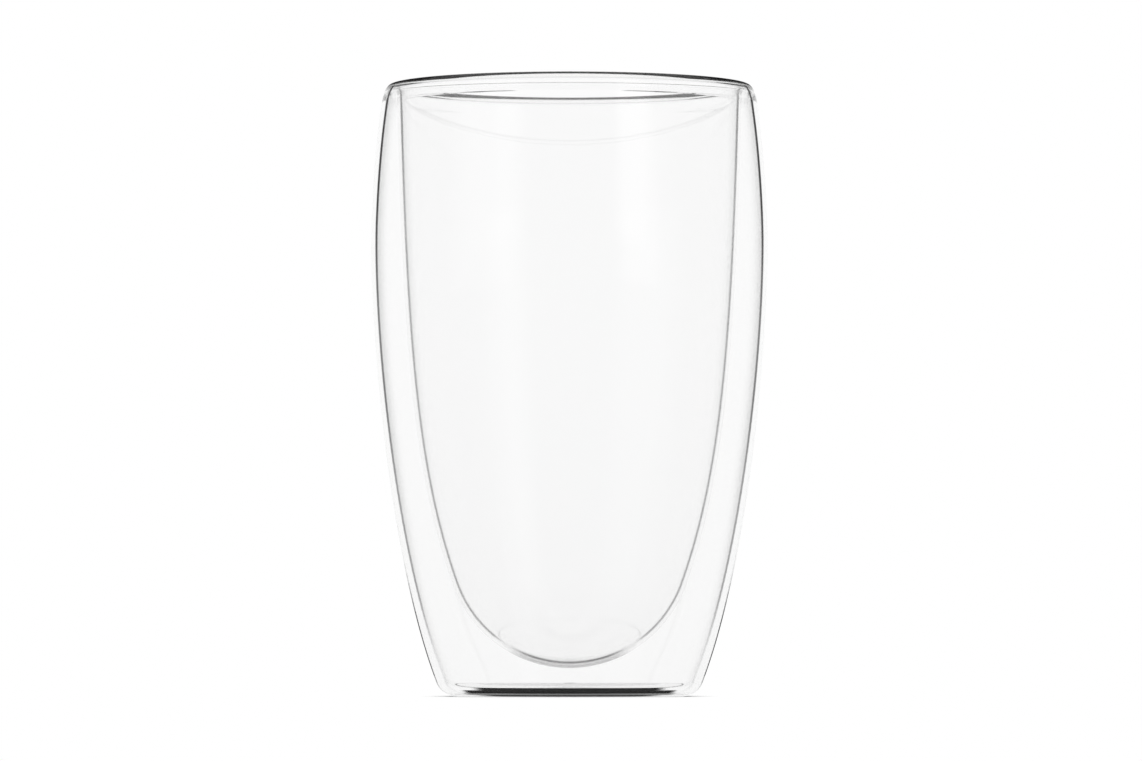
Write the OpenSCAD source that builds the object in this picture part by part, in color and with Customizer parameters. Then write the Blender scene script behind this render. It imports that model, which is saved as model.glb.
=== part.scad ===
// Double walled drinking glass, blown from clear borosilicate glass.
// Two thin blown bodies stand one inside the other. They touch only at the rim, where a ring of
// melted glass joins them, so a closed layer of air lies between the walls. A small glass drop
// closes the hole in the base that let hot air out while the rim was melted.
// Units are millimetres. The glass stands on z = 0 with its axis on z.

/* [Outer shell] */
// Height of the whole glass, from the table to the crest of the rim
glass_h = 138.7; // [110:0.1:170]
// Outer diameter at the belly, the widest place
belly_d = 90; // [84:0.5:104]
// Height of the belly above the table
belly_h = 102.9; // [88:0.5:112]
// How much narrower than the belly the glass is just under the rim, across
rim_draw = 4.7; // [1:0.1:10]
// How far the wall leans inward under the rim, in degrees
rim_lean = 8.7; // [4:0.5:14]
// Outer diameter of the flat foot that stands on the table
foot_d = 51.4; // [44:0.5:60]
// How far the wall leans outward above the foot, in degrees
foot_flare = 21.2; // [14:0.5:28]
// Radius of the round corner between foot and wall
corner_r = 4.7; // [3.6:0.1:7]
// Wall thickness of the shell at the belly and above
shell_wall = 1.17; // [0.9:0.05:1.6]
// Wall thickness of the shell just above the foot
foot_wall = 2.1; // [1.5:0.05:2.5]

/* [Base] */
// Thickness of the base plate
base_wall = 1.9; // [1.4:0.05:2.6]
// Diameter of the shallow dish under the base
dish_d = 42; // [34:0.5:43]
// Depth of the dish at its middle
dish_h = 0.35; // [0.3:0.05:1.2]
// Diameter of the vent hole in the middle of the base
vent_d = 3; // [2:0.1:5]
// Diameter of the glass drop where it spreads under the base
drop_d = 6.6; // [5.5:0.1:9]
// Height of the spread drop under the base
drop_h = 0.2; // [0.1:0.05:0.25]
// Height of the round top of the drop above the base plate
drop_crown = 0.4; // [0.2:0.05:0.8]

/* [Inner liner] */
// Air gap between the walls, just under the rim
rim_gap = 2.4; // [1.8:0.1:4]
// Wall thickness of the liner just under the rim
liner_rim_wall = 0.86; // [0.7:0.02:1.2]
// Wall thickness of the liner where the round bottom runs out
liner_wall = 1.15; // [0.9:0.05:1.5]
// Thickness of the round bottom of the liner on the axis
liner_floor = 1.3; // [1:0.05:2.4]
// Air gap between the base plate and the bottom of the liner, on the axis
floor_gap = 4.05; // [2.5:0.05:8]
// How far the inside of the liner's round bottom stays within the belly, on each side
bowl_clear = 18; // [15:0.5:22]
// How far the liner leans outward where the round bottom runs out into the side, in degrees
bowl_flare = 19.6; // [14:0.2:24]
// How far the liner leans outward under the rim, in degrees
liner_lean = 1.5; // [0:0.1:4]

/* [Rim] */
// Height of the melted ring, from the edges of the walls to the crest
lip_h = 4.2; // [3:0.1:6]
// Thickness of the ring over the top of the air gap
lip_roof = 1.3; // [0.8:0.1:2]

/* [Hidden] */
$fn = 96;

// Steps along each curve of a wall, round a corner, and over a small form
wall_steps = 18;
corner_steps = 8;
small_steps = 10;

// Lengths of the curve handles, as shares of the height or the width that each curve spans
foot_handle_share = 0.266;
belly_low_handle_share = 0.259;
belly_high_handle_share = 0.2;
rim_handle_share = 0.355;
liner_low_handle_share = 0.244;
liner_top_handle_share = 0.502;
lip_side_handle_share = 0.6;
lip_crest_handle_share = 0.5;
// How square the arch over the air gap is: 1 draws half an ellipse, and less is squarer
arch_bow_share = 0.8;
// Where the crest lies between the inside and the outside of the rim
crest_share = 0.48;

belly_r = belly_d / 2;
rim_r = belly_r - rim_draw / 2;
foot_r = foot_d / 2;
dish_r = dish_d / 2;
vent_r = vent_d / 2;
drop_r = drop_d / 2;
bowl_r = belly_r - bowl_clear;
// Level at which both walls end and the melted ring sits on them
seal_z = glass_h - lip_h;
// Radii of the faces that meet the ring, from the outside in
shell_edge_r = rim_r - shell_wall;
liner_edge_r = shell_edge_r - rim_gap;
mouth_r = liner_edge_r - liner_rim_wall;
arch_h = lip_h - lip_roof;
// Height of the liner's inner bottom
liner_z = dish_h + base_wall + floor_gap + liner_floor;

// A point at a share t of a curve that leaves a towards b and reaches d from c
function curve_at(a, b, c, d, t) =
    pow(1 - t, 3) * a + 3 * pow(1 - t, 2) * t * b + 3 * (1 - t) * t * t * c + pow(t, 3) * d;
// The direction of travel there
function heading_at(a, b, c, d, t) =
    unit(pow(1 - t, 2) * (b - a) + 2 * (1 - t) * t * (c - b) + t * t * (d - c));
function unit(v) = v / norm(v);
// A direction that leans outward from straight up, and the same one quarter turn to the left
function leaning(angle) = [sin(angle), cos(angle)];
function left_of(v) = [-v[1], v[0]];
function flip(points) = [for (i = [len(points) - 1:-1:0]) points[i]];

// The outer corner, from the table up to the wall
function corner_turn(i) = -90 + (90 - foot_flare) * i / corner_steps;
function corner_point(i) =
    [foot_r, corner_r] + corner_r * [cos(corner_turn(i)), sin(corner_turn(i))];
corner_top = corner_point(corner_steps);

// The shell's wall below and above the belly, each as the four points of a curve
low_side = [
    corner_top,
    corner_top + belly_h * foot_handle_share * leaning(foot_flare),
    [belly_r, belly_h - belly_h * belly_low_handle_share],
    [belly_r, belly_h]
];
high_side = [
    [belly_r, belly_h],
    [belly_r, belly_h + (seal_z - belly_h) * belly_high_handle_share],
    [rim_r, seal_z] - (seal_z - belly_h) * rim_handle_share * leaning(-rim_lean),
    [rim_r, seal_z]
];
// The wall is blown thinner as it rises, and is even from the belly up
function shell_wall_at(z) =
    shell_wall + (foot_wall - shell_wall) * pow(max(0, 1 - z / belly_h), 2);

// The liner's inner face: the round bottom, then the side up to the rim
function bowl_turn(i) = -90 + (90 - bowl_flare) * i / wall_steps;
function bowl_point(i, r) = [r * cos(bowl_turn(i)), liner_z + bowl_r + r * sin(bowl_turn(i))];
bowl_top = bowl_point(wall_steps, bowl_r);
liner_side = [
    bowl_top,
    bowl_top + (seal_z - bowl_top[1]) * liner_low_handle_share * leaning(bowl_flare),
    [mouth_r, seal_z] - (seal_z - bowl_top[1]) * liner_top_handle_share * leaning(liner_lean),
    [mouth_r, seal_z]
];

// Points along a curve, moved off it to the left by a thickness that runs from t0 to t1
function off_curve(c, steps, t0, t1, first = 0) = [
    for (i = [first:steps])
        let (t = i / steps)
        curve_at(c[0], c[1], c[2], c[3], t)
            + (t0 + (t1 - t0) * t * t * (3 - 2 * t)) * left_of(heading_at(c[0], c[1], c[2], c[3], t))
];
// The same for the shell, whose thickness follows the height
function inside_of(c, steps, first = 0) = [
    for (i = [first:steps])
        let (p = curve_at(c[0], c[1], c[2], c[3], i / steps))
        p + shell_wall_at(p[1]) * left_of(heading_at(c[0], c[1], c[2], c[3], i / steps))
];

// Height of the dish under the base at a radius
function dish_at(r) = dish_h * (1 - pow(r / dish_r, 2));
dish = [for (i = [0:small_steps]) let (r = dish_r + (vent_r - dish_r) * i / small_steps) [r, dish_at(r)]];

shell_outside = concat(
    [for (i = [0:corner_steps]) corner_point(i)],
    off_curve(low_side, wall_steps, 0, 0, 1),
    off_curve(high_side, wall_steps, 0, 0, 1)
);
shell_inside = concat(
    [for (i = [0:corner_steps])
        corner_point(i)
            - (base_wall + (shell_wall_at(corner_top[1]) - base_wall) * i / corner_steps)
                * [cos(corner_turn(i)), sin(corner_turn(i))]],
    inside_of(low_side, wall_steps, 1),
    inside_of(high_side, wall_steps - 1, 1),
    [[shell_edge_r, seal_z]]
);

// Outer shell: foot, round corner and full belly, with the vent hole in its dished base
module outer_shell() {
    color("azure", 0.35)
        rotate_extrude()
            polygon(concat(
                shell_outside,
                flip(shell_inside),
                [for (p = dish) p + [0, base_wall]],
                flip(dish)
            ));
}

// Inner liner: the drinking vessel itself, a tall cup with a round bottom
liner_inside = concat(
    [for (i = [0:wall_steps]) bowl_point(i, bowl_r)],
    off_curve(liner_side, wall_steps, 0, 0, 1)
);
liner_outside = concat(
    [for (i = [0:wall_steps])
        bowl_point(i, bowl_r + liner_floor + (liner_wall - liner_floor) * i / wall_steps)],
    off_curve(liner_side, wall_steps - 1, -liner_wall, -liner_rim_wall, 1),
    [[liner_edge_r, seal_z]]
);

module inner_liner() {
    color("lightcyan", 0.45)
        rotate_extrude()
            polygon(concat(liner_outside, flip(liner_inside)));
}

// Rim seal: the ring of melted glass that sits on the edges of both walls.
// Its crest is fully round for the lips, and an arch under it closes the air gap.
crest = [mouth_r + (rim_r - mouth_r) * crest_share, glass_h];
lip_out = [
    [rim_r, seal_z],
    [rim_r, seal_z] + lip_h * lip_side_handle_share * leaning(-rim_lean),
    crest + [(rim_r - crest[0]) * lip_crest_handle_share, 0],
    crest
];
lip_in = [
    crest,
    crest - [(crest[0] - mouth_r) * lip_crest_handle_share, 0],
    [mouth_r, seal_z] + lip_h * lip_side_handle_share * leaning(liner_lean),
    [mouth_r, seal_z]
];
function bowed(x) = sign(x) * pow(abs(x), arch_bow_share);
arch = [
    for (i = [0:small_steps])
        let (turn = 180 - 180 * i / small_steps)
        [
            (shell_edge_r + liner_edge_r) / 2 + (rim_gap / 2) * bowed(cos(turn)),
            seal_z + arch_h * bowed(sin(turn))
        ]
];

module rim_seal() {
    color("paleturquoise", 0.8)
        rotate_extrude()
            polygon(concat(
                off_curve(lip_out, small_steps, 0, 0),
                off_curve(lip_in, small_steps, 0, 0, 1),
                arch
            ));
}

// Vent seal: a drop of glass melted into the vent hole. Its stem fills the hole, its foot spreads
// under the base, clear of the table, and its top is a low dome.
drop_foot = [
    for (i = [0:small_steps])
        let (turn = 90 * i / small_steps)
        [drop_r * sin(turn), dish_h - drop_h + (drop_h - dish_h + dish_at(drop_r)) * (1 - cos(turn))]
];
drop_seat = [
    for (i = [1:small_steps])
        let (r = drop_r + (vent_r - drop_r) * i / small_steps)
        [r, dish_at(r)]
];
drop_dome = [
    for (i = [0:small_steps])
        let (turn = 90 * i / small_steps)
        [vent_r * cos(turn), dish_at(vent_r) + base_wall + drop_crown * sin(turn)]
];

module vent_seal() {
    color("paleturquoise", 0.8)
        rotate_extrude()
            polygon(concat(drop_foot, drop_seat, drop_dome));
}

outer_shell();
inner_liner();
rim_seal();
vent_seal();
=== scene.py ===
import math

import bmesh
import bpy
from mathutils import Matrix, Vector
from mathutils.geometry import interpolate_bezier


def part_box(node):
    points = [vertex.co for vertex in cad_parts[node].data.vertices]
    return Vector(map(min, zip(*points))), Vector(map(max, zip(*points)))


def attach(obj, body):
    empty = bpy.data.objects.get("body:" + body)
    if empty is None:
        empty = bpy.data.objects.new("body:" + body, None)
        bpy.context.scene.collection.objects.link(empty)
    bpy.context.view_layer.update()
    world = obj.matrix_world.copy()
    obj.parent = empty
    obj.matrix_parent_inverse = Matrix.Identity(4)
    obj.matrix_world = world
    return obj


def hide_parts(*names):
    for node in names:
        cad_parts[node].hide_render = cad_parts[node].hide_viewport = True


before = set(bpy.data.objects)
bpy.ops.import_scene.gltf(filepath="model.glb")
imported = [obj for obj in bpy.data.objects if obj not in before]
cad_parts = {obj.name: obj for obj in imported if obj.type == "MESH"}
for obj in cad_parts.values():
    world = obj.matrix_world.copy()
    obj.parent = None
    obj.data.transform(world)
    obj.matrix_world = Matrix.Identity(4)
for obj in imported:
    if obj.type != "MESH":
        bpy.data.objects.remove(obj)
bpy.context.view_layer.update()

MM = 0.001


# Outer shell
# The full bellied outer wall with its round lower corner and its dished base, blown as one piece
# of clear borosilicate glass. The hole in the middle of the base let hot air out while the rim
# was melted to the liner.
BELLY_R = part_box("outer_shell")[1][0]
BELLY_Z = 102.9 * MM
SEAL_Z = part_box("outer_shell")[1][2]
RIM_R = 42.65 * MM
RIM_LEAN = math.radians(8.7)
FOOT_R = 25.7 * MM
FOOT_FLARE = math.radians(21.2)
CORNER_R = 4.7 * MM
# How far each end of the two side curves keeps its own direction, as a share of their height.
FOOT_HOLD, BELLY_HOLD_DOWN = 0.266, 0.259
BELLY_HOLD_UP, RIM_HOLD = 0.2, 0.355
SHELL_WALL = 1.17 * MM
FOOT_WALL = 2.1 * MM
BASE_WALL = 1.9 * MM
DISH_R = 21.0 * MM
DISH_H = 0.35 * MM
VENT_R = 1.5 * MM
DROP_R = 3.3 * MM
# Melted faces lie this far apart, less than the width of a scratch, so that each piece is closed.
SLIT = 0.01 * MM
TURN_STEPS = 256
SIDE_STEPS, UPPER_STEPS = 48, 24
CORNER_STEPS = 16
DISH_STEPS = 12


def blend(start, end, share):
    return start + (end - start) * share


def evenly(start, end, steps):
    return [blend(start, end, i / steps) for i in range(steps + 1)]


def ease(value, start, full):
    """A share that grows from 0 at start to 1 at full, gently at both ends."""
    share = min(1.0, max(0.0, (value - start) / (full - start)))
    return share * share * (3 - 2 * share)


def leaning(angle):
    """A direction in the outline's plane that leans outward from straight up."""
    return Vector((math.sin(angle), math.cos(angle)))


def around(centre, radius, turn):
    """A point of a circle in the outline's plane."""
    return centre + radius * Vector((math.cos(turn), math.sin(turn)))


def curve(start, start_handle, end_handle, end, steps):
    """Points along one smooth stretch of an outline."""
    points = interpolate_bezier(start, start_handle, end_handle, end, steps + 1)
    return [Vector((p.x, p.y)) for p in points]


def other_face(points, walls):
    """The far face of a wall: each point moved to the left by the wall's thickness there."""
    moved = []
    for i, (point, wall) in enumerate(zip(points, walls)):
        before, after = points[max(i - 1, 0)], points[min(i + 1, len(points) - 1)]
        heading = (after - before).normalized()
        moved.append(point + wall * Vector((-heading.y, heading.x)))
    return moved


def shell_wall_at(z):
    """The wall is blown thinner as it rises, and is even from the belly up."""
    return blend(SHELL_WALL, FOOT_WALL, max(0.0, 1 - z / BELLY_Z) ** 2)


def dish_at(r):
    return DISH_H * (1 - (r / DISH_R) ** 2)


corner_centre = Vector((FOOT_R, CORNER_R))
corner_turns = evenly(-math.pi / 2, -FOOT_FLARE, CORNER_STEPS)
corner = [around(corner_centre, CORNER_R, turn) for turn in corner_turns]
low_side = curve(
    corner[-1],
    corner[-1] + BELLY_Z * FOOT_HOLD * leaning(FOOT_FLARE),
    Vector((BELLY_R, BELLY_Z * (1 - BELLY_HOLD_DOWN))),
    Vector((BELLY_R, BELLY_Z)),
    SIDE_STEPS,
)
upper_h = SEAL_Z - BELLY_Z
high_side = curve(
    Vector((BELLY_R, BELLY_Z)),
    Vector((BELLY_R, BELLY_Z + upper_h * BELLY_HOLD_UP)),
    Vector((RIM_R, SEAL_Z)) - upper_h * RIM_HOLD * leaning(-RIM_LEAN),
    Vector((RIM_R, SEAL_Z)),
    UPPER_STEPS,
)
side = low_side + high_side[1:]
side_inside = other_face(side, [shell_wall_at(point.y) for point in side])
corner_walls = evenly(BASE_WALL, shell_wall_at(corner[-1].y), CORNER_STEPS)
corner_inside = [
    around(corner_centre, CORNER_R - wall, turn)
    for wall, turn in zip(corner_walls, corner_turns)
]
dish_radii = evenly(DISH_R, DROP_R, DISH_STEPS) + [VENT_R + SLIT]
dish = [Vector((r, dish_at(r))) for r in dish_radii]
shell_outline = corner + side[1:-1]
shell_outline += [Vector((RIM_R, SEAL_Z - SLIT)), Vector((RIM_R - SHELL_WALL, SEAL_Z - SLIT))]
shell_outline += side_inside[-2:0:-1] + corner_inside[::-1]
shell_outline += [p + Vector((0, BASE_WALL)) for p in dish] + dish[::-1]

# Each face carries marks for the glass. Joint is 1 where the piece is melted to its neighbour. All
# the other marks are painted shade: black painted on where a real glass shows the dark room through
# and in its walls. A second number says how much an inner face is painted darker at a glancing
# view. The line mark gives the cosine at which the wall's painted dark line is seen, its darkness
# and its half width. The edge mark gives the cosine below which the face is painted dark, and how
# dark it is from the air and from inside the glass. The band mark gives the cosine above which the
# face is painted dark, and how dark it is.
NUMBER_MARKS = ("joint", "painted_graze_shade")
VECTOR_MARKS = ("painted_line", "painted_edge", "painted_band")
UNMARKED = (0.0, 0.0, 0.0)
JOINT_REACH = 1.5 * SLIT
LINE_HALF = 0.22 * MM
SAME_PLACE = 0.001 * MM
SHARP_ANGLE = math.radians(30)


def painted_wall_line(r, level, wall, dark):
    """A line of sight that grazes the wall's inner face meets the outer face at this cosine. The
    wall's painted dark line, painted shade for the dark room seen along that graze, lies there. Its
    half width is given as a share of the cosine."""
    inner_r = max(0.0, r - wall / level)
    sine = inner_r / r
    cosine = math.sqrt(1 - sine * sine)
    return level * cosine, dark, LINE_HALF * inner_r / (r * cosine) ** 2


def spun(name, outline, marks):
    """A closed solid of revolution with marked faces, smooth but for its sharp edges."""
    bm = bmesh.new()
    verts = [bm.verts.new((p.x, 0.0, p.y)) for p in outline]
    edges = [bm.edges.new((a, b)) for a, b in zip(verts, verts[1:])]
    if outline[0].x > 0:
        edges.append(bm.edges.new((verts[-1], verts[0])))
    bmesh.ops.spin(bm, geom=verts + edges, cent=(0, 0, 0), axis=(0, 0, 1),
                   angle=math.tau, steps=TURN_STEPS, use_merge=True)
    bmesh.ops.remove_doubles(bm, verts=bm.verts, dist=SAME_PLACE)
    bmesh.ops.recalc_face_normals(bm, faces=bm.faces)
    for layer in NUMBER_MARKS:
        bm.faces.layers.float.new(layer)
    for layer in VECTOR_MARKS:
        bm.faces.layers.float_vector.new(layer)
    numbers, vectors = bm.faces.layers.float, bm.faces.layers.float_vector
    for face in bm.faces:
        centre = face.calc_center_median()
        faces_axis = face.normal.x * centre.x + face.normal.y * centre.y < 0
        face_marks = marks(face, faces_axis, math.hypot(centre.x, centre.y), centre.z)
        for layer in NUMBER_MARKS:
            face[numbers[layer]] = face_marks.get(layer, 0.0)
        for layer in VECTOR_MARKS:
            face[vectors[layer]] = face_marks.get(layer, UNMARKED)
        face.smooth = True
    mesh = bpy.data.meshes.new(name)
    bm.to_mesh(mesh)
    bm.free()
    mesh.set_sharp_from_angle(angle=SHARP_ANGLE)
    piece = bpy.data.objects.new(name, mesh)
    bpy.context.collection.objects.link(piece)
    return piece


# A face nearer to level than this belongs to the base, and within this radius to its flat plate.
BASE_NORMAL_Z = 0.9
# Faces of the flat plate get painted shade from inside the glass: dark below this cosine, by this
# much.
PLATE_R, PLATE_COS, PLATE_DARK = 24.8 * MM, 0.6, 0.25
CORNER_IN_Z = 2.9 * MM
# The round corner's painted dark rows from the table up, painted shade for the shadowed table that
# the corner shows: their top, their darkness and their least cosine.
PAINTED_CORNER_ROWS = (
    (0.1 * MM, 0.0, 1.0),
    (0.42 * MM, 0.94, 0.64),
    (0.92 * MM, 0.72, 0.49),
    (1.6 * MM, 0.97, 0.52),
    (1.95 * MM, 0.97, 0.64),
)
# Inner faces of the shell are painted darker at glancing views, painted shade: its share at the foot
# and at full, and the heights over which it grows.
GRAZE_SHADE_FOOT, SHELL_GRAZE_SHADE = 0.3, 0.75
GRAZE_SHADE_START_Z, GRAZE_SHADE_FULL_Z = 10 * MM, 60 * MM
# The darkness of the shell wall's painted dark line at its foot and at its top.
LINE_FOOT, SHELL_LINE_TOP = 0.08, 0.86
# The wall's painted dark line darkens upward in three stages: from a height, to a height, to a
# darkness.
PAINTED_LINE_STAGES = (
    (6 * MM, 26 * MM, 0.40),
    (45 * MM, 70 * MM, 0.58),
    (85 * MM, 115 * MM, SHELL_LINE_TOP),
)
# The thin painted dark line along the outer edge of the low side grows to full and fades again.
LOW_COS, LOW_DARK = 0.14, 0.95
LOW_FULL_Z, LOW_FADE_Z, LOW_END_Z = 6 * MM, 16 * MM, 33 * MM


def painted_corner_band(level, z):
    for top, dark, least in PAINTED_CORNER_ROWS:
        if z < top:
            return least * level, dark, 0.0
    return UNMARKED


def painted_shell_line_at(z):
    dark = LINE_FOOT
    for start, full, darker in PAINTED_LINE_STAGES:
        dark = blend(dark, darker, ease(z, start, full))
    return dark


# The shell's marks: its melted faces, and the painted shade of its dark lines, edges and bands.
def shell_marks(face, faces_axis, r, z):
    on_rim = z > SEAL_Z - JOINT_REACH
    in_vent = r < VENT_R + JOINT_REACH
    under_drop = r < DROP_R and z < DISH_H + SLIT
    if on_rim or in_vent or under_drop:
        return {"joint": 1.0}
    level = math.hypot(face.normal.x, face.normal.y)
    on_base = abs(face.normal.z) > BASE_NORMAL_Z
    if on_base and r < PLATE_R:
        return {"painted_edge": (PLATE_COS, 0.0, PLATE_DARK)}
    if on_base:
        return {"painted_band": painted_corner_band(level, z)}
    if faces_axis and z < CORNER_IN_Z:
        return {}
    if faces_axis:
        rise = ease(z, GRAZE_SHADE_START_Z, GRAZE_SHADE_FULL_Z)
        return {"painted_graze_shade": blend(GRAZE_SHADE_FOOT, SHELL_GRAZE_SHADE, rise)}
    low = ease(z, 0.0, LOW_FULL_Z) * (1 - ease(z, LOW_FADE_Z, LOW_END_Z))
    return {
        "painted_line": painted_wall_line(r, level, shell_wall_at(z), painted_shell_line_at(z)),
        "painted_edge": (LOW_COS, LOW_DARK * low, 0.0),
        "painted_band": painted_corner_band(level, z),
    }


outer_shell = spun("outer_shell_glass", shell_outline, shell_marks)

# The glass is clear, with a trace of grey in its depth. Marked faces are painted black at the views
# that their marks name, painted shade for the dark room that a real glass shows through and in its
# walls, and melted faces let light pass straight on to the neighbour.
IOR = 1.47
ABSORPTION = 14.0
GRAZE_START, GRAZE_POWER = 0.82, 4.0
LINE_CORE, LINE_SOFT = 0.3, 1.6
EDGE_CORE = 0.6
BAND_SOFT = 1.15
WHITE, BLACK = (1.0, 1.0, 1.0, 1.0), (0.0, 0.0, 0.0, 1.0)
glass = bpy.data.materials.new("clear_glass_painted_shade")
glass.use_nodes = True
nodes, links = glass.node_tree.nodes, glass.node_tree.links
nodes.clear()


def math_node(operation, a, b=None):
    """One step of arithmetic on sockets or numbers, in the tree that is being built."""
    node = nodes.new("ShaderNodeMath")
    node.operation = operation
    for socket, value in zip(node.inputs, (a, b)):
        if isinstance(value, (int, float)):
            socket.default_value = value
        elif value is not None:
            links.new(value, socket)
    return node.outputs["Value"]


def ramp(value, start, full, low, high, shape="SMOOTHSTEP"):
    node = nodes.new("ShaderNodeMapRange")
    node.interpolation_type = shape
    links.new(value, node.inputs["Value"])
    node.inputs["From Min"].default_value = start
    node.inputs["From Max"].default_value = full
    node.inputs["To Min"].default_value = low
    node.inputs["To Max"].default_value = high
    return node.outputs["Result"]


def grey(value):
    node = nodes.new("ShaderNodeCombineColor")
    for channel in ("Red", "Green", "Blue"):
        links.new(value, node.inputs[channel])
    return node.outputs["Color"]


def number_mark(name):
    node = nodes.new("ShaderNodeAttribute")
    node.attribute_name = name
    return node.outputs["Fac"]


def vector_mark(name):
    node = nodes.new("ShaderNodeAttribute")
    node.attribute_name = name
    parts = nodes.new("ShaderNodeSeparateXYZ")
    links.new(node.outputs["Vector"], parts.inputs["Vector"])
    return parts.outputs["X"], parts.outputs["Y"], parts.outputs["Z"]


facing = nodes.new("ShaderNodeLayerWeight").outputs["Facing"]
inside = nodes.new("ShaderNodeNewGeometry").outputs["Backfacing"]
in_air = math_node("SUBTRACT", 1.0, inside)
cosine = math_node("SUBTRACT", 1.0, facing)
sine_squared = math_node("SUBTRACT", 1.0, math_node("MULTIPLY", cosine, cosine))
# From inside the glass, the cosine is taken as the air beyond the face would see it.
bend = math_node("ADD", 1.0, math_node("MULTIPLY", inside, IOR ** 2 - 1))
air_sine_squared = math_node("MULTIPLY", sine_squared, bend)
air_cosine = math_node("SUBTRACT", 1.0, air_sine_squared)
air_cosine = math_node("SQRT", math_node("MAXIMUM", air_cosine, 0.0))

clear = nodes.new("ShaderNodeBsdfPrincipled")
clear.inputs["Roughness"].default_value = 0.0
clear.inputs["IOR"].default_value = IOR
clear.inputs["Transmission Weight"].default_value = 1.0
# Inner faces are painted darker at glancing views through the glass's colour: painted shade.
glancing = ramp(air_sine_squared, GRAZE_START, 1.0, 0.0, 1.0, "LINEAR")
shade = math_node("MULTIPLY", math_node("POWER", glancing, GRAZE_POWER), number_mark("painted_graze_shade"))
links.new(grey(math_node("SUBTRACT", 1.0, shade)), clear.inputs["Base Color"])

# The wall's painted dark line.
line_at, line_dark, line_half = vector_mark("painted_line")
off_line = math_node("ABSOLUTE", math_node("SUBTRACT", air_cosine, line_at))
off_line = math_node("DIVIDE", off_line, math_node("MULTIPLY", line_at, line_half))
painted_line = math_node("MULTIPLY", ramp(off_line, LINE_CORE, LINE_SOFT, 1.0, 0.0), line_dark)

# Painted dark edges, from the air and from inside the glass.
edge_at, dark_in_air, dark_inside = vector_mark("painted_edge")
near_edge = ramp(math_node("DIVIDE", air_cosine, edge_at), EDGE_CORE, 1.0, 1.0, 0.0)
dark_in_air = math_node("MULTIPLY", in_air, dark_in_air)
dark_inside = math_node("MULTIPLY", inside, dark_inside)
painted_edge = math_node("MULTIPLY", near_edge, math_node("ADD", dark_in_air, dark_inside))

# The painted dark band, seen from the air.
band_at, band_dark = vector_mark("painted_band")[:2]
in_band = ramp(math_node("DIVIDE", cosine, band_at), 1.0, BAND_SOFT, 0.0, 1.0)
painted_band = math_node("MULTIPLY", in_band, math_node("MULTIPLY", in_air, band_dark))

# Where the marks call for it the glass is painted black, and melted faces are left open.
joint = number_mark("joint")
painted_black_or_open = nodes.new("ShaderNodeBsdfTransparent")
links.new(grey(joint), painted_black_or_open.inputs["Color"])
dark = math_node("MAXIMUM", painted_line, math_node("MAXIMUM", painted_edge, painted_band))
pick = nodes.new("ShaderNodeMixShader")
links.new(math_node("MAXIMUM", joint, dark), pick.inputs["Fac"])
links.new(clear.outputs["BSDF"], pick.inputs[1])
links.new(painted_black_or_open.outputs["BSDF"], pick.inputs[2])
depth = nodes.new("ShaderNodeVolumeAbsorption")
depth.inputs["Color"].default_value = BLACK
depth.inputs["Density"].default_value = ABSORPTION
output = nodes.new("ShaderNodeOutputMaterial")
links.new(pick.outputs["Shader"], output.inputs["Surface"])
links.new(depth.outputs["Volume"], output.inputs["Volume"])

outer_shell.data.materials.append(glass)
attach(outer_shell, "root")
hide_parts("outer_shell")


# Inner liner
# The drinking vessel: a tall thin cup of the same glass with a round bottom, blown separately and
# hung inside the shell. It touches nothing but the melted ring at the rim.
LINER_Z = 7.6 * MM
BOWL_R = 27.0 * MM
BOWL_FLARE = math.radians(19.6)
LINER_LEAN = math.radians(1.5)
LINER_EDGE_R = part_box("inner_liner")[1][0]
LINER_RIM_WALL = 0.86 * MM
LINER_WALL = 1.15 * MM
LINER_FLOOR = 1.3 * MM
MOUTH_R = LINER_EDGE_R - LINER_RIM_WALL
BOWL_HOLD, MOUTH_HOLD = 0.244, 0.502
BOWL_STEPS = 48

bowl_centre = Vector((0.0, LINER_Z + BOWL_R))
bowl_turns = evenly(-math.pi / 2, -BOWL_FLARE, BOWL_STEPS)
bowl_walls = evenly(LINER_FLOOR, LINER_WALL, BOWL_STEPS)
bowl = [around(bowl_centre, BOWL_R, turn) for turn in bowl_turns]
bowl_under = [
    around(bowl_centre, BOWL_R + wall, turn)
    for wall, turn in zip(bowl_walls, bowl_turns)
]
bowl[0].x = bowl_under[0].x = 0.0
bowl_top_z = bowl[-1].y
liner_h = SEAL_Z - bowl_top_z
liner_side = curve(
    bowl[-1],
    bowl[-1] + liner_h * BOWL_HOLD * leaning(BOWL_FLARE),
    Vector((MOUTH_R, SEAL_Z)) - liner_h * MOUTH_HOLD * leaning(LINER_LEAN),
    Vector((MOUTH_R, SEAL_Z)),
    SIDE_STEPS,
)
liner_walls = [
    blend(LINER_WALL, LINER_RIM_WALL, ease(share, 0, 1))
    for share in evenly(0, 1, SIDE_STEPS)
]
liner_outside = other_face(liner_side, [-wall for wall in liner_walls])
liner_outline = bowl_under + liner_outside[1:-1]
liner_outline += [Vector((LINER_EDGE_R, SEAL_Z - SLIT)), Vector((MOUTH_R, SEAL_Z - SLIT))]
liner_outline += liner_side[-2::-1] + bowl[-2::-1]

# The liner's painted shade: how dark its inner faces are painted at glancing views and the height
# where that is full; its painted dark line, at the top and where that rise begins; the bowl's
# painted line and edge.
LINER_GRAZE_SHADE, LINER_GRAZE_SHADE_Z = 0.4, 90 * MM
LINER_LINE, LINER_LINE_TOP, LINER_RISE_Z = 0.38, 0.65, 108 * MM
BOWL_LINE, BOWL_EDGE = 0.6, 0.3
# As the bowl turns under, its painted side line ends and its painted bottom line starts at these
# normals.
SIDE_ENDS, BOTTOM_STARTS = (0.74, 0.8), (0.84, 0.92)


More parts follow.
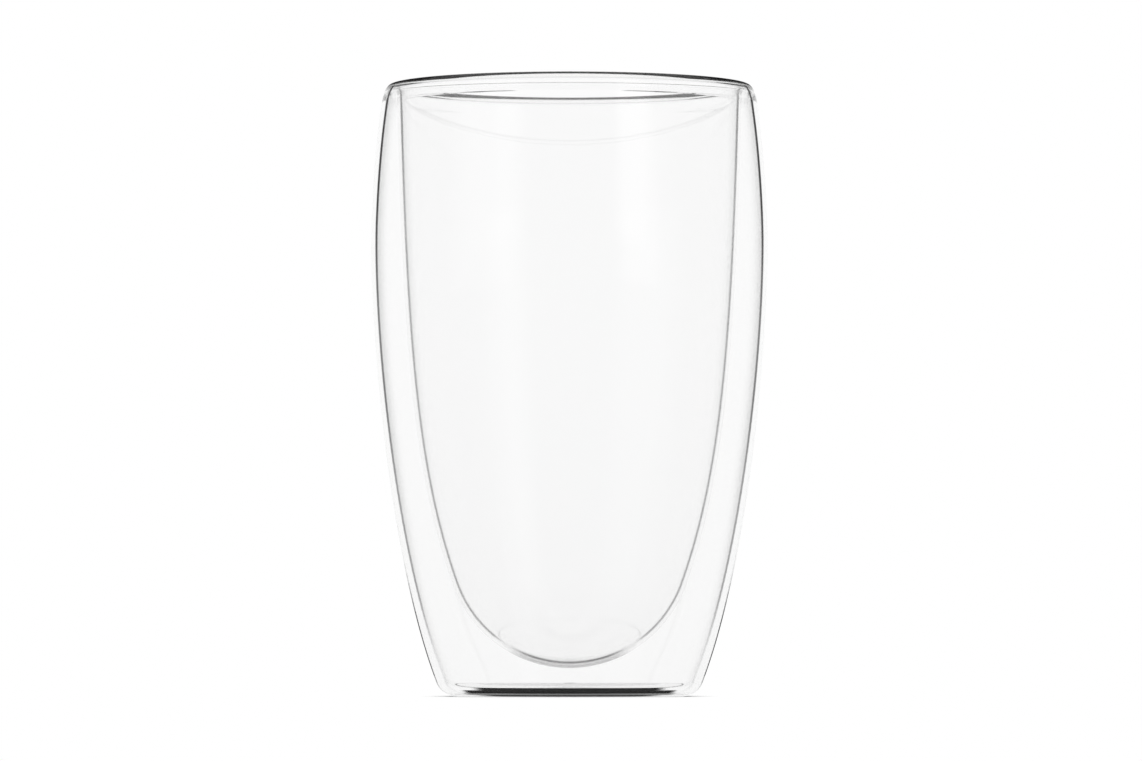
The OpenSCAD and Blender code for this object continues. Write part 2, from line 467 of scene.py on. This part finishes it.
# The liner's marks: its melted faces, and the painted shade of its dark lines and the bowl's edge.
def liner_marks(face, faces_axis, r, z):
    if z > SEAL_Z - JOINT_REACH:
        return {"joint": 1.0}
    if faces_axis:
        return {"painted_graze_shade": LINER_GRAZE_SHADE * ease(z, LINER_Z, LINER_GRAZE_SHADE_Z)}
    wall = blend(LINER_WALL, LINER_RIM_WALL, ease(z, bowl_top_z, SEAL_Z))
    down = -face.normal.z
    if down < math.sin(BOWL_FLARE):
        level = math.hypot(face.normal.x, face.normal.y)
        dark = blend(LINER_LINE, LINER_LINE_TOP, ease(z, LINER_RISE_Z, SEAL_Z))
        return {"painted_line": painted_wall_line(r, level, wall, dark)}
    on_side, on_bottom = 1 - ease(down, *SIDE_ENDS), ease(down, *BOTTOM_STARTS)
    dark = LINER_LINE * on_side + BOWL_LINE * on_bottom
    painted_line = painted_wall_line(BOWL_R + wall, 1.0, wall, dark)
    return {"painted_line": painted_line, "painted_edge": (painted_line[0], BOWL_EDGE * on_bottom, 0.0)}


inner_liner = spun("inner_liner_glass", liner_outline, liner_marks)
inner_liner.data.materials.append(glass)
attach(inner_liner, "root")
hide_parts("inner_liner")


# Rim seal
# The ring of glass that forms when the edges of both walls are melted together: solid, with a
# full round crest for the lips, and an arch under it that closes the air gap.
CREST_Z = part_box("rim_seal")[1][2]
CREST_SHARE = 0.48
LIP_H = CREST_Z - SEAL_Z
LIP_HOLD, CREST_HOLD = 0.6, 0.5
LIP_ROOF = 1.3 * MM
ARCH_H = LIP_H - LIP_ROOF
ARCH_HALF = (RIM_R - SHELL_WALL - LINER_EDGE_R) / 2
ARCH_R = LINER_EDGE_R + ARCH_HALF
# Below 1 this power makes the arch fuller than half an ellipse.
ARCH_BOW = 0.8
LIP_STEPS, ARCH_STEPS = 20, 24


def bowed(x):
    return math.copysign(abs(x) ** ARCH_BOW, x)


crest = Vector((blend(MOUTH_R, RIM_R, CREST_SHARE), CREST_Z))
lip_out = curve(
    Vector((RIM_R, SEAL_Z + SLIT)),
    Vector((RIM_R, SEAL_Z)) + LIP_H * LIP_HOLD * leaning(-RIM_LEAN),
    crest + Vector(((RIM_R - crest.x) * CREST_HOLD, 0)),
    crest,
    LIP_STEPS,
)
lip_in = curve(
    crest,
    crest - Vector(((crest.x - MOUTH_R) * CREST_HOLD, 0)),
    Vector((MOUTH_R, SEAL_Z)) + LIP_H * LIP_HOLD * leaning(LINER_LEAN),
    Vector((MOUTH_R, SEAL_Z + SLIT)),
    LIP_STEPS,
)
arch = []
for turn in evenly(math.pi, 0, ARCH_STEPS):
    out, up = bowed(math.cos(turn)), bowed(math.sin(turn))
    arch.append(Vector((ARCH_R + ARCH_HALF * out, SEAL_Z + SLIT + ARCH_H * up)))

# The rim's painted shade: how dark the crest is painted on its outer side, on the side that faces
# the axis and from inside the glass, and the cosine below which it is painted, with its slope.
RIM_DARK, RIM_DARK_FAR, RIM_DARK_INSIDE = 0.95, 0.6, 0.03
RIM_COS, RIM_COS_SLOPE = 0.02, 0.78
# The crest's painted black, painted shade for the dark room seen in the lip, begins at the first
# of these normals and is full at the second.
CREST_STARTS = (0.38, 0.7)
UPRIGHT = 0.5
ARCH_REACH = 0.1 * MM


# The rim's marks: melted faces, the painted dark line along the arch's liner side, and the crest's
# painted shade.
def rim_marks(face, faces_axis, r, z):
    if z < SEAL_Z + JOINT_REACH:
        return {"joint": 1.0}
    level = math.hypot(face.normal.x, face.normal.y)
    if abs(r - ARCH_R) < ARCH_HALF and z < SEAL_Z + ARCH_H + ARCH_REACH:
        on_liner_side = r < ARCH_R and level > UPRIGHT
        return {"painted_line": painted_wall_line(r, level, LINER_RIM_WALL, LINER_LINE_TOP)} if on_liner_side else {}
    on_crest = ease(face.normal.z, *CREST_STARTS)
    dark = RIM_DARK_FAR if faces_axis else RIM_DARK
    painted_edge = (RIM_COS + RIM_COS_SLOPE * level, dark * on_crest, RIM_DARK_INSIDE * on_crest)
    if faces_axis or level < UPRIGHT:
        return {"painted_edge": painted_edge}
    painted_line = painted_wall_line(r, level, SHELL_WALL, SHELL_LINE_TOP * (1 - on_crest))
    return {"painted_edge": painted_edge, "painted_line": painted_line}


rim_seal = spun("rim_seal_glass", lip_out + lip_in[1:] + arch, rim_marks)
rim_seal.data.materials.append(glass)
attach(rim_seal, "root")
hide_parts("rim_seal")


# Vent seal
# The drop of glass that is melted into the vent hole last: its stem fills the hole, its foot
# spreads under the base clear of the table, and its top is a low dome.
DROP_H = 0.2 * MM
DROP_CROWN = 0.4 * MM
DROP_STEPS = 12

quarter = evenly(0, math.pi / 2, DROP_STEPS)
drop_low_z, drop_edge_z = DISH_H - DROP_H, dish_at(DROP_R)
dome_z = dish_at(VENT_R) + BASE_WALL
drop_foot = [
    Vector((DROP_R * math.sin(turn), blend(drop_low_z, drop_edge_z, 1 - math.cos(turn))))
    for turn in quarter
]
drop_seat = [Vector((r, dish_at(r) - SLIT)) for r in (DROP_R, VENT_R)]
drop_dome = [
    Vector((VENT_R * math.cos(turn), dome_z + DROP_CROWN * math.sin(turn)))
    for turn in quarter
]


def drop_marks(face, faces_axis, r, z):
    on_stem = r > VENT_R - SLIT and z > dish_at(VENT_R)
    on_seat = r > VENT_R and z > dish_at(r) - JOINT_REACH
    return {"joint": 1.0} if on_stem or on_seat else {}


vent_seal = spun("vent_seal_glass", drop_foot[:-1] + drop_seat + drop_dome, drop_marks)
vent_seal.data.materials.append(glass)
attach(vent_seal, "root")
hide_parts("vent_seal")


# Floor
# A pale table top. It keeps the glass's shadow close round the foot and runs out into plain
# white, and the glass sees it as plain white all over.
FLOOR_R = 3.0
FLOOR_SIDES = 96
TABLE_TONE = 0.98
SHADOW_FADES, SHADOW_ENDS = 26 * MM, 34 * MM
bm = bmesh.new()
bmesh.ops.create_circle(bm, cap_ends=True, radius=FLOOR_R, segments=FLOOR_SIDES)
floor_mesh = bpy.data.meshes.new("floor")
bm.to_mesh(floor_mesh)
bm.free()
floor = bpy.data.objects.new("floor", floor_mesh)
bpy.context.collection.objects.link(floor)

paint = bpy.data.materials.new("pale_table")
paint.use_nodes = True
nodes, links = paint.node_tree.nodes, paint.node_tree.links
nodes.clear()
matt = nodes.new("ShaderNodeBsdfDiffuse")
matt.inputs["Color"].default_value = (TABLE_TONE, TABLE_TONE, TABLE_TONE, 1.0)
plain = nodes.new("ShaderNodeEmission")
plain.inputs["Color"].default_value = WHITE
plain.inputs["Strength"].default_value = 1.0
place = nodes.new("ShaderNodeTexCoord")
distance = nodes.new("ShaderNodeVectorMath")
distance.operation = "LENGTH"
links.new(place.outputs["Object"], distance.inputs[0])
ray = nodes.new("ShaderNodeLightPath")
fade = ramp(distance.outputs["Value"], SHADOW_FADES, SHADOW_ENDS, 0.0, 1.0, "LINEAR")
bent = math_node("MAXIMUM", ray.outputs["Is Transmission Ray"], ray.outputs["Is Glossy Ray"])
mix = nodes.new("ShaderNodeMixShader")
links.new(math_node("MAXIMUM", fade, bent), mix.inputs["Fac"])
links.new(matt.outputs["BSDF"], mix.inputs[1])
links.new(plain.outputs["Emission"], mix.inputs[2])
output = nodes.new("ShaderNodeOutputMaterial")
links.new(mix.outputs["Shader"], output.inputs["Surface"])
floor.data.materials.append(paint)


# Studio
# White all round for the camera. What the glass bends or mirrors comes from the same white room,
# with a tall bright window to the left and to the right behind the camera, and a dimmer ceiling.
# A window has the bearing of its middle, half its width, half its soft edge and its added light.
LEFT_WINDOW = (math.radians(-54), math.radians(20), math.radians(5), 0.15)
RIGHT_WINDOW = (math.radians(42), math.radians(11), math.radians(2), 0.27)
CEILING_START, CEILING_FULL, CEILING_TONE = 0.4, 0.9, 0.85
world = bpy.data.worlds.new("studio")
bpy.context.scene.world = world
world.use_nodes = True
nodes, links = world.node_tree.nodes, world.node_tree.links
nodes.clear()


def window(bearing, middle, half, soft, light):
    aside = math_node("ABSOLUTE", math_node("SUBTRACT", bearing, middle))
    return ramp(aside, half - soft, half + soft, light, 0.0)


place = nodes.new("ShaderNodeTexCoord")
parts = nodes.new("ShaderNodeSeparateXYZ")
links.new(place.outputs["Generated"], parts.inputs["Vector"])
to_camera = math_node("MULTIPLY", parts.outputs["Y"], -1.0)
bearing = math_node("ARCTAN2", parts.outputs["X"], to_camera)
windows = math_node("ADD", window(bearing, *LEFT_WINDOW), window(bearing, *RIGHT_WINDOW))
ceiling = ramp(parts.outputs["Z"], CEILING_START, CEILING_FULL, 1.0, CEILING_TONE)
room = math_node("MULTIPLY", math_node("ADD", 1.0, windows), ceiling)
ray = nodes.new("ShaderNodeLightPath")
bent = math_node("MAXIMUM", ray.outputs["Is Transmission Ray"], ray.outputs["Is Glossy Ray"])
bent = math_node("MULTIPLY", bent, math_node("SUBTRACT", 1.0, ray.outputs["Is Camera Ray"]))
strength = nodes.new("ShaderNodeMix")
links.new(bent, strength.inputs["Factor"])
strength.inputs[2].default_value = 1.0
links.new(room, strength.inputs[3])
sky = nodes.new("ShaderNodeBackground")
sky.inputs["Color"].default_value = WHITE
links.new(strength.outputs[0], sky.inputs["Strength"])
output = nodes.new("ShaderNodeOutputWorld")
links.new(sky.outputs["Background"], output.inputs["Surface"])


# Camera
# A long lens near the height of the table looks slightly up at the glass, so the base is seen
# along its edge and the near side of the rim lies above the far side.
PHOTO_W, PHOTO_H = 1142, 761
PX_PER_M = 4408.0
AXIS_X_PX = 569.5
TABLE_Y_PX = 696.0
EYE_Z = 0.014
EYE_BACK = 1.64
SENSOR_W = 36.0
NEAREST, FARTHEST = 0.05, 50.0
# Light bounces many times between the two walls before it leaves the glass.
BOUNCES = 48

aim_x = (PHOTO_W / 2 - AXIS_X_PX) / PX_PER_M
aim = Vector((aim_x, 0.0, (TABLE_Y_PX - PHOTO_H / 2) / PX_PER_M))
eye = Vector((aim_x, -EYE_BACK, EYE_Z))
lens = bpy.data.cameras.new("camera")
lens.sensor_width = SENSOR_W
lens.lens = SENSOR_W * PX_PER_M * (aim - eye).length / PHOTO_W
lens.clip_start = NEAREST
lens.clip_end = FARTHEST
camera = bpy.data.objects.new("camera", lens)
camera.location = eye
camera.rotation_euler = (aim - eye).to_track_quat("-Z", "Y").to_euler()
bpy.context.collection.objects.link(camera)
scene = bpy.context.scene
scene.camera = camera
scene.view_settings.view_transform = "Standard"
scene.cycles.max_bounces = BOUNCES
scene.cycles.transmission_bounces = BOUNCES
scene.cycles.glossy_bounces = BOUNCES
scene.cycles.transparent_max_bounces = BOUNCES
